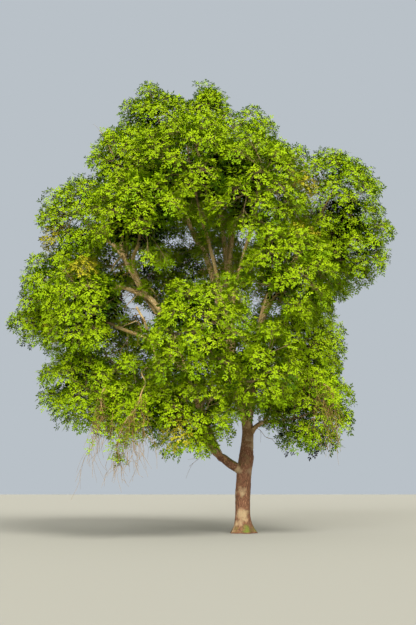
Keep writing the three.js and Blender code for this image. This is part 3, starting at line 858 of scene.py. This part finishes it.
def grow_mass(index):
    """The wood and the leaves of one mass, as two pieces in place of its solid."""
    bough = BOUGHS[index]
    reach = bough["reach"]
    axis, stem_of_mass = mass_stem(index)
    draw = seeded(TWIG_SEED + index)
    wood = Wood()
    stations = np.linspace(0, 1, MASS_STEM_STATIONS)
    wood.add(stem_of_mass(stations)[None], MASS_STEM_RADII, MASS_STEM_SIDES)

    # Twigs, the same as in the solid
    rank, ways = bearings(axis, TWIGS, TWIG_LEAN, 2 * math.pi * draw())
    starts = stem_of_mass(lerp(*STEM_STRETCH, rank))
    ends = spread_ends(index, ways, draw)
    stations = np.linspace(0, 1, TWIG_STATIONS)
    twigs = [bezier(start, lerp(start, end, 0.5) + UP * TWIG_BOW, end) for start, end in zip(starts, ends)]
    wood.add(np.array([twig(stations) for twig in twigs]), TWIG_RADII, TWIG_SIDES)

    # Branchlets, by the same rule but more of them, each from the twig that points most its way
    rng = np.random.RandomState(BRANCHLET_SEED + index)
    fine_draw = seeded(BRANCHLET_SEED + index)
    count = max(LEAST_BRANCHLETS, round(BRANCHLETS * (reach / FULL_REACH) ** 2))
    rank, fine_ways = bearings(axis, count, BRANCHLET_LEAN, 2 * math.pi * fine_draw())
    fine_ways = unit(fine_ways + rng.normal(0, BRANCHLET_SCATTER, fine_ways.shape))
    domes = rng.uniform(*DOME_RADIUS, count)
    span = reach_along(index, fine_ways) - DOME_ROOM * domes - rng.uniform(*DOME_INSET, count)
    fine_ends = centres[index] + fine_ways * np.maximum(span, LEAST_SPREAD * reach)[:, None]
    outer = crown_depth(fine_ends) < INNERMOST
    fine_ends, fine_ways, domes = fine_ends[outer], fine_ways[outer], domes[outer]
    nearest = np.argmax(fine_ways @ ways.T, axis=1)
    roots = np.array([twigs[twig](rng.uniform(*BRANCHLET_FOOT)) for twig in nearest])
    elbows = lerp(roots, fine_ends, 0.5) + ways[nearest] * BRANCHLET_BOW
    elbows += rng.normal(size=roots.shape) * BRANCHLET_KINK
    branchlets = [bezier(root, elbow, end) for root, elbow, end in zip(roots, elbows, fine_ends)]
    wood.add(np.array([branchlet(stations) for branchlet in branchlets]), BRANCHLET_RADII, BRANCHLET_SIDES)

    # Shoots, a dome of them at each branchlet's end
    browned = np.random.RandomState(BROWNED_SEED + index).rand(len(fine_ends)) < BROWNED_SHARE
    tips, tip_ways, tones, shoot_lines = [], [], [], []
    for branchlet, way, end, dome, brown in zip(branchlets, fine_ways, fine_ends, domes, browned):
        shade = float(shade_at(end))
        shoot_count = round(lerp(*SHOOTS, shade))
        dome_axis = unit(way * DOME_OUT + UP * DOME_UP)
        shoot_rank, shoot_ways = bearings(dome_axis, shoot_count, SHOOT_LEAN, rng.uniform(0, 2 * math.pi))
        base = end - dome_axis * dome * DOME_SINK
        shoot_ends = base + shoot_ways * dome * rng.uniform(*SHOOT_LENGTH, (shoot_count, 1))
        kept = crown_depth(shoot_ends) > DOME_INSET[0]
        kept &= lead_over_neighbours(index, shoot_ends) > -SEAM_CROSSING
        kept &= ~in_hollow(shoot_ends, rng.uniform(*HOLLOW_EDGE))
        roots = branchlet(rng.uniform(*SHOOT_FOOT, shoot_count))
        lines = np.stack((roots, shoot_ends), axis=1)[kept]
        tips.append(lines[:, 1])
        tip_ways.append(unit(shoot_ways[kept] + TUFT_UP * UP))
        # Painted light and shade: the top and outside of each dome lighter, tufts low beside the trunk and
        # deep inside darker.
        light = MIDDLE_LIGHT + LIGHT_BY_LEAN * (shoot_rank[kept] - 0.5) + LIGHT_BY_HEIGHT * way[2]
        light += rng.normal(0, LIGHT_SCATTER, kept.sum())
        light -= PAINTED_SHADE_UNDER_CROWN * under_crown(lines[:, 1])
        light -= LIGHT_LOST_INSIDE * shade_at(lines[:, 1])
        tones.append(np.full(len(light), len(GREENS)) if brown else green_for(light))
        shoot_lines.append(lines)
    wood.add(np.concatenate(shoot_lines), SHOOT_RADII, SHOOT_SIDES)

    twig_piece = wood.piece("twigs_" + bough["place"], twig_wood)
    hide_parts("leaves_" + bough["place"])
    leaf_piece = leaf_mesh(
        "leaves_of_" + bough["place"],
        np.concatenate(tips), np.concatenate(tip_ways), np.concatenate(tones), rng,
    )
    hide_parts("leaves_" + bough["place"])


for index in range(len(BOUGHS)):
    grow_mass(index)

# Inner shoots
# Short leafy shoots stand here and there along the boughs inside the crown, where some light gets in.
# Each is a thin twig that grows straight out of the bark, with three tufts of leaves at its end.
INNER_SEED = 6000
INNER_SPACING = 0.42
INNER_LENGTH = (0.2, 0.5)
INNER_FROM = {"main_stem": 0.42, "left_fork": 0.45}
INNER_FIRST = 0.3
INNER_LAST = 0.97
INNER_FORWARD = 0.35
INNER_UP = 0.15
INNER_BOW = 0.05
INNER_RADII = (0.007, 0.004)
INNER_STATIONS = 4
INNER_TUFTS = 3
INNER_TUFT_SPREAD = 0.07
INNER_TUFT_UP = 0.6
INNER_TUFT_SCATTER = 0.3
# Painted shade: inner tufts get darker greens the deeper they stand in the crown.
INNER_LIGHT = 0.62
INNER_LIGHT_LOST = 0.3
INNER_LIGHT_SCATTER = 0.1


def along_bough(bough, first, spacing, rng):
    """Places along a bough at about the spacing: the point, and a way out from it and a little forward."""
    curve = curves[bough["node"]]
    step = spacing / length_of(curve)
    for share in np.arange(first, INNER_LAST, step):
        share = min(share + rng.uniform(0, step), 1)
        along = heading(curve, share)
        aside = unit(np.cross(along, rng.normal(size=3)))
        yield curve(share), unit(aside + INNER_FORWARD * along + INNER_UP * UP)


rng = np.random.RandomState(INNER_SEED)
inner_wood, inner_tips, inner_ways = Wood(), [], []
for bough in BOUGHS:
    first = INNER_FROM.get(bough["node"], INNER_FIRST)
    for point, way in along_bough(bough, first, INNER_SPACING, rng):
        length = rng.uniform(*INNER_LENGTH)
        tip = point + way * length + UP * INNER_BOW
        line = bezier(point, point + way * length / 2, tip)(np.linspace(0, 1, INNER_STATIONS))
        inner_wood.add(line[None], INNER_RADII, SHOOT_SIDES)
        for _ in range(INNER_TUFTS):
            inner_tips.append(tip + rng.normal(0, INNER_TUFT_SPREAD, 3))
            inner_ways.append(unit(way + UP * INNER_TUFT_UP + rng.normal(0, INNER_TUFT_SCATTER, 3)))
inner_tips = np.array(inner_tips)
# Painted shade: darker greens for tufts deeper in the crown.
light = INNER_LIGHT - INNER_LIGHT_LOST * shade_at(inner_tips)
light += rng.normal(0, INNER_LIGHT_SCATTER, len(inner_tips))
leaf_mesh("leaves_on_boughs", inner_tips, np.array(inner_ways), green_for(light), rng)
inner_wood.piece("shoots_on_boughs", twig_wood)

# Dead wood
# Bare twigs stand along the boughs inside the crown, and others hang in curtains under its low left side
# and at its low right. A few limbs have died back or snapped, and stand on the living wood as they grew.
DEAD_SEED = 7000
DEAD_SPACING = 0.2
DEAD_FIRST = 0.25
DEAD_LENGTH = (0.35, 1.0)
DEAD_RADIUS = 0.009
DEAD_SINK = 0.3
DEAD_DROOP = 0.15
DEAD_STATIONS = 6
DEAD_FORKS = 2
DEAD_TAPER = 0.45
KINK = 0.05
FORK_SPREAD = 0.7
FORK_LENGTH = (0.25, 0.5)
FORK_RADII = (0.6, 0.3)
FORK_DROOP = 0.2
FORK_STATIONS = 4

# Dead ash twig, dry and without gloss, a tan brown. Torn ash wood, pale and fresh.
dead_finish = plain_finish("dead_ash_twig", "#8f7444", roughness=0.8, specular=0.1)
torn_finish = plain_finish("torn_ash_wood", "#e6cd98", roughness=0.75, specular=0.15)

# Each snag with the limb that bears it, the share of that one's length, the points that it passes and
# its radius at its foot and at its end. A torn one ends in splinters, and a curtain hangs from three.
SNAGS = [
    dict(name="left_side", start="left_fork", at=0.8, through=[(-3.98, -1.3, 8.35), (-4.1, -1.6, 7.99)],
         radii=(0.03, 0.012)),
    dict(name="left_upper", start="left_fork", at=0.78, through=[(-3.65, -1.2, 8.77), (-3.68, -1.3, 9.03)],
         radii=(0.022, 0.01)),
    dict(name="left_short", start="left_fork", at=0.69, through=[(-3.41, -1.25, 7.79), (-3.52, -1.4, 7.88)],
         radii=(0.018, 0.009)),
    dict(name="left_inner", start="left_fork", at=0.64, through=[(-2.9, -1.3, 7.52), (-2.74, -1.4, 7.34)],
         radii=(0.016, 0.007)),
    dict(name="left_level", start="left_fork", at=0.66, through=[(-3.39, -1.4, 7.46), (-3.63, -1.5, 7.48)],
         radii=(0.016, 0.007)),
    dict(name="left_drooping", start="left_fork", at=0.655,
         through=[(-3.27, -1.3, 7.33), (-3.52, -1.6, 6.98), (-3.67, -1.7, 6.81)], radii=(0.02, 0.009)),
    dict(name="broken", start="bough_middle_left", at=0.62,
         through=[(-3, -1.9, 6.3), (-3.15, -2, 6.59), (-3.24, -2, 6.75)], radii=(0.044, 0.032), torn=True),
    dict(name="broken_side", start="bough_middle_left", at=0.7,
         through=[(-3.19, -2.15, 6.29), (-3.39, -2.3, 6.23), (-3.65, -2.4, 6.1)], radii=(0.02, 0.009)),
    dict(name="stub", start="bough_crest_left", at=0.2, through=[(-0.8, -0.5, 7.36), (-0.87, -0.6, 7.6)],
         radii=(0.06, 0.045), torn=True),
    dict(name="right_fork", start="bough_right_dome", at=0.34,
         through=[(0.87, -0.9, 7.54), (0.94, -1, 7.87), (0.91, -1, 8.3)], radii=(0.036, 0.02)),
    dict(name="hanging", start="bough_middle_left", at=0.6,
         through=[(-2.66, -2.3, 5.1), (-2.98, -3.1, 4.68), (-2.83, -3.75, 4.3), (-2.9, -4.15, 4.02),
                  (-2.95, -4.2, 3.82), (-3, -4.2, 3.63), (-3.13, -4.2, 3.44), (-3.3, -4.15, 3.25),
                  (-3.46, -4.1, 2.9), (-3.57, -4.05, 2.45), (-3.48, -4, 1.99)],
         radii=(0.024, 0.01), curtain=True),
    dict(name="outstanding", start="left_fork", at=1,
         through=[(-4.14, -0.75, 11.92), (-4.37, -0.8, 12.49), (-4.43, -0.8, 12.94)], radii=(0.024, 0.007)),
    dict(name="outstanding_fork", start="left_fork", at=1,
         through=[(-4.2, -0.8, 12.1), (-4.5, -0.8, 12.7), (-4.66, -0.8, 12.91)], radii=(0.02, 0.006)),
    dict(name="curtain_bearer", start="bough_low_left", at=0.75,
         through=[(-3.97, -2.4, 4.16), (-4.02, -3.2, 4.2), (-4.1, -3.45, 3.89), (-4.03, -3.5, 3.27)],
         radii=(0.028, 0.01), curtain=True),
    dict(name="right_curtain_bearer", start="bough_low_right", at=0.6,
         through=[(1.3, -1.5, 4.55), (1.85, -2, 4.6), (2.4, -2.1, 4.4), (2.75, -2, 4.05)],
         radii=(0.028, 0.01), curtain=True),
]
SNAG_MESH = (12, 0.06)
SNAG_TWIGS_AT = (0.35, 0.95, 0.25)
SNAG_TWIG_SPREAD = 0.9
SNAG_TWIG_LENGTH = (0.2, 0.5)
SNAG_TWIG_RADIUS = 0.6
SNAG_TWIG_DROOP = 0.2
SNAG_TWIG_STATIONS = 5

CURTAIN_TWIGS = 34
CURTAIN_PLACE = (0.4, 0.95)
CURTAIN_SCATTER = (0.14, 0.14, 0.1)
CURTAIN_DROP = 0.8
CURTAIN_LENGTH = (0.5, 1.6)
CURTAIN_FOOT = 1.8
CURTAIN_DROOP = 0.25
CURTAIN_STATIONS = 9
CURTAIN_RADIUS = 0.007
CURTAIN_FORKS = 3
CURTAIN_TUFT_STATIONS = (1, 5)
CURTAIN_TUFT_SPREAD = 0.06
CURTAIN_TUFT_WAY = (0, -0.5, 1)
CURTAIN_TUFT_SCATTER = 0.4
CURTAIN_DARKEST = 2


def crooked(start, way, length, droop, stations, rng):
    """A dead twig's middle line, which kinks at each station and sinks towards its end."""
    share = np.linspace(0, 1, stations)[:, None]
    kinks = np.cumsum(rng.normal(0, KINK * length, (stations, 3)), axis=0) * (share > 0)
    return start + length * (share * way - droop * share**2 * UP) + kinks


def add_dead_twig(wood, line, radius, forks, rng):
    """A dead twig along a line, with shorter ones that fork off it."""
    wood.add(line[None], (radius, radius * DEAD_TAPER), SHOOT_SIDES)
    length = np.linalg.norm(line[-1] - line[0])
    for place in rng.randint(1, len(line) - 1, forks):
        way = unit(unit(line[place + 1] - line[place]) + FORK_SPREAD * unit(rng.normal(size=3)))
        fork_length = length * rng.uniform(*FORK_LENGTH)
        fork = crooked(line[place], way, fork_length, FORK_DROOP, FORK_STATIONS, rng)
        wood.add(fork[None], [radius * share for share in FORK_RADII], SHOOT_SIDES)


SPLINTERS = 16
SPLINTER_PLACE = 0.75
SPLINTER_ROOT = 0.2
SPLINTER_RADIUS = 0.3
SPLINTER_LENGTH = (0.8, 3.2)
SPLINTER_LEAN = (-0.1, 0.3)
SPLINTER_CORNERS = (0, 2.1, 4.2)


def splinters(tip, way, radius, rng):
    """Long thin spikes of torn wood, which stand on the end of a snapped limb."""
    points, faces = [], []
    spike = np.array([(0, 1, 3), (1, 2, 3), (2, 0, 3), (0, 2, 1)])
    for _ in range(SPLINTERS):
        faces.extend(spike + len(points))
        aside = unit(np.cross(way, rng.normal(size=3)))
        base = tip + aside * radius * math.sqrt(rng.rand()) * SPLINTER_PLACE - way * radius * SPLINTER_ROOT
        turned = np.cross(way, aside)
        for turn in SPLINTER_CORNERS:
            corner = math.cos(turn) * aside + math.sin(turn) * turned
            points.append(base + SPLINTER_RADIUS * radius * corner)
        end = base + way * radius * rng.uniform(*SPLINTER_LENGTH)
        points.append(end + aside * radius * rng.uniform(*SPLINTER_LEAN))
    return np.array(points), np.array(faces)


rng = np.random.RandomState(DEAD_SEED)
dead_wood = Wood()
curtain_tips = []
for bough in BOUGHS:
    first = INNER_FROM.get(bough["node"], DEAD_FIRST)
    for point, way in along_bough(bough, first, DEAD_SPACING, rng):
        length = rng.uniform(*DEAD_LENGTH)
        line = crooked(point, unit(way - DEAD_SINK * UP), length, DEAD_DROOP, DEAD_STATIONS, rng)
        add_dead_twig(dead_wood, line, DEAD_RADIUS, DEAD_FORKS, rng)

for snag in SNAGS:
    curve = catmull_rom([curves[snag["start"]](snag["at"]), *snag["through"]])
    radii = snag["radii"]
    piece = bark_tube("snag_" + snag["name"], curve, lambda share, angle: lerp(*radii, share), *SNAG_MESH)
    piece.data.materials.append(young_bark)
    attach(piece, "root")
    for share in np.arange(*SNAG_TWIGS_AT):
        way = unit(heading(curve, share) + SNAG_TWIG_SPREAD * unit(rng.normal(size=3)))
        length = rng.uniform(*SNAG_TWIG_LENGTH)
        line = crooked(curve(share), way, length, SNAG_TWIG_DROOP, SNAG_TWIG_STATIONS, rng)
        add_dead_twig(dead_wood, line, radii[1] * SNAG_TWIG_RADIUS, 1, rng)
    if snag.get("torn"):
        points, faces = splinters(curve(1), heading(curve, 1), radii[1], rng)
        torn = array_piece("torn_" + snag["name"], points, faces.ravel(), np.full(len(faces), 3))
        torn.data.materials.append(torn_finish)
        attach(torn, "root")
    for _ in range(CURTAIN_TWIGS if snag.get("curtain") else 0):
        start = curve(rng.uniform(*CURTAIN_PLACE))
        way = unit(rng.normal(size=3) * CURTAIN_SCATTER - CURTAIN_DROP * UP)
        length = min(rng.uniform(*CURTAIN_LENGTH), start[2] - CURTAIN_FOOT)
        line = crooked(start, way, length, CURTAIN_DROOP, CURTAIN_STATIONS, rng)
        add_dead_twig(dead_wood, line, CURTAIN_RADIUS, CURTAIN_FORKS, rng)
        place = line[rng.randint(*CURTAIN_TUFT_STATIONS)]
        curtain_tips.append(place + rng.normal(0, CURTAIN_TUFT_SPREAD, 3))

curtain_tips = np.array(curtain_tips)
curtain_ways = unit(rng.normal(size=curtain_tips.shape) * CURTAIN_TUFT_SCATTER + CURTAIN_TUFT_WAY)
curtain_tones = rng.randint(CURTAIN_DARKEST, len(GREENS), len(curtain_tips))
leaf_mesh("leaves_on_curtain", curtain_tips, curtain_ways, curtain_tones, rng)
dead_wood.piece("dead_twigs", dead_finish)

# Studio
# A pale, plain floor and backdrop under even light from all round, a broad sun from the front right and
# above, and a soft, lower one from the front left. The camera stands at eye height on level ground.
FLOOR_REACH = 80
FLOOR_BELOW = 0.002
BACKDROP_RADIUS = 110
ROUND_LIGHT = 0.8
SUNS = [
    dict(name="key", energy=3.5, angle=34, colour=(1, 0.96, 0.85), tilt=46, turn=28),
    dict(name="fill", energy=3.5, angle=40, colour=(1, 0.98, 0.92), tilt=72, turn=-20),
]
EYE = (-1.09, -28.8, 1.6)
PITCH = 10.586
SENSOR_WIDTH = 36
LENS = 51.84
FURTHEST_SEEN = 300

bm = bmesh.new()
bmesh.ops.create_grid(bm, x_segments=1, y_segments=1, size=FLOOR_REACH)
bmesh.ops.translate(bm, verts=bm.verts, vec=(0, 0, -FLOOR_BELOW))
floor = mesh_object("floor", bm)
floor.data.materials.append(plain_finish("studio_floor", "#9c9c98", roughness=0.9, specular=0.1))

world = bpy.data.worlds.new("studio")
scene.world = world
world.use_nodes = True
surroundings = world.node_tree.nodes["Background"]
surroundings.inputs["Color"].default_value = linear("#f1eede")
surroundings.inputs["Strength"].default_value = ROUND_LIGHT

bm = bmesh.new()
bmesh.ops.create_uvsphere(bm, u_segments=48, v_segments=24, radius=BACKDROP_RADIUS)
bmesh.ops.reverse_faces(bm, faces=bm.faces)
backdrop = mesh_object("backdrop", bm)
backdrop.visible_diffuse = backdrop.visible_glossy = backdrop.visible_shadow = False
backdrop_finish = plain_finish("studio_backdrop", "#000000", roughness=1, specular=0)
glow = backdrop_finish.node_tree.nodes["Principled BSDF"]
glow.inputs["Emission Color"].default_value = linear("#b9c1c8")
glow.inputs["Emission Strength"].default_value = 1
backdrop.data.materials.append(backdrop_finish)

for sun in SUNS:
    light = new_object(sun["name"], bpy.data.lights.new(sun["name"], "SUN"))
    light.data.energy = sun["energy"]
    light.data.angle = math.radians(sun["angle"])
    light.data.color = sun["colour"]
    light.rotation_euler = (math.radians(sun["tilt"]), 0, math.radians(sun["turn"]))

camera = new_object("camera", bpy.data.cameras.new("camera"))
camera.location = EYE
camera.rotation_euler = (math.radians(90 + PITCH), 0, 0)
camera.data.sensor_width = SENSOR_WIDTH
camera.data.lens = LENS
camera.data.clip_end = FURTHEST_SEEN
scene.camera = camera
scene.view_settings.view_transform = "Standard"
